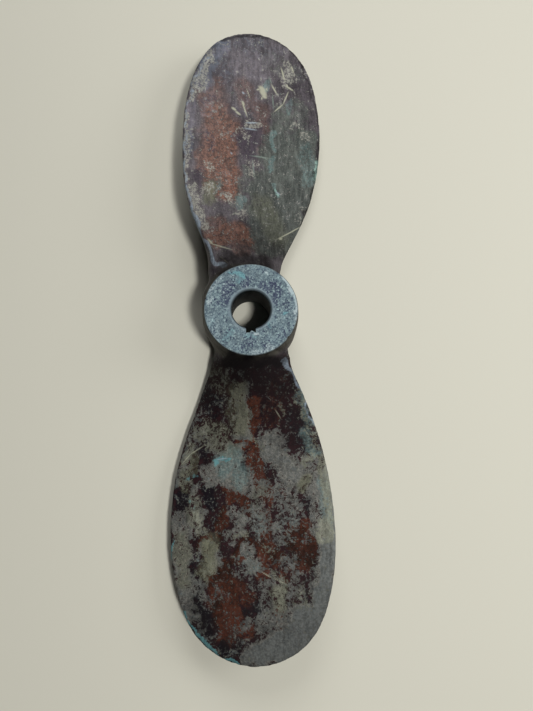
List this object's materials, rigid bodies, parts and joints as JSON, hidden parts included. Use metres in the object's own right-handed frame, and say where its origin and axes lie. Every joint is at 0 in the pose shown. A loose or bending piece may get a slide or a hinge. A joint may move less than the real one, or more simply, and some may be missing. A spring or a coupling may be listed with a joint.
{
  "type": "ship propeller",
  "caption": "Weathered bronze boat propeller cast in one piece, with a short keyed hub and opposed broad rounded blades with a right-hand twist.",
  "frame": {"origin": "centre of the bore in the plane of the hub's far face, on which the propeller lies", "axes": "+Z along the shaft axis towards the hub's near face, +Y along one blade, the keyway towards -Y"},
  "size_m": [0.0779, 0.33, 0.03],
  "materials": {
    "bronze": "weathered satin, brown and grey-green oxide with some verdigris"
  },
  "bodies": {
    "root": {"propeller_casting": "bronze"}
  },
  "joints": []
}
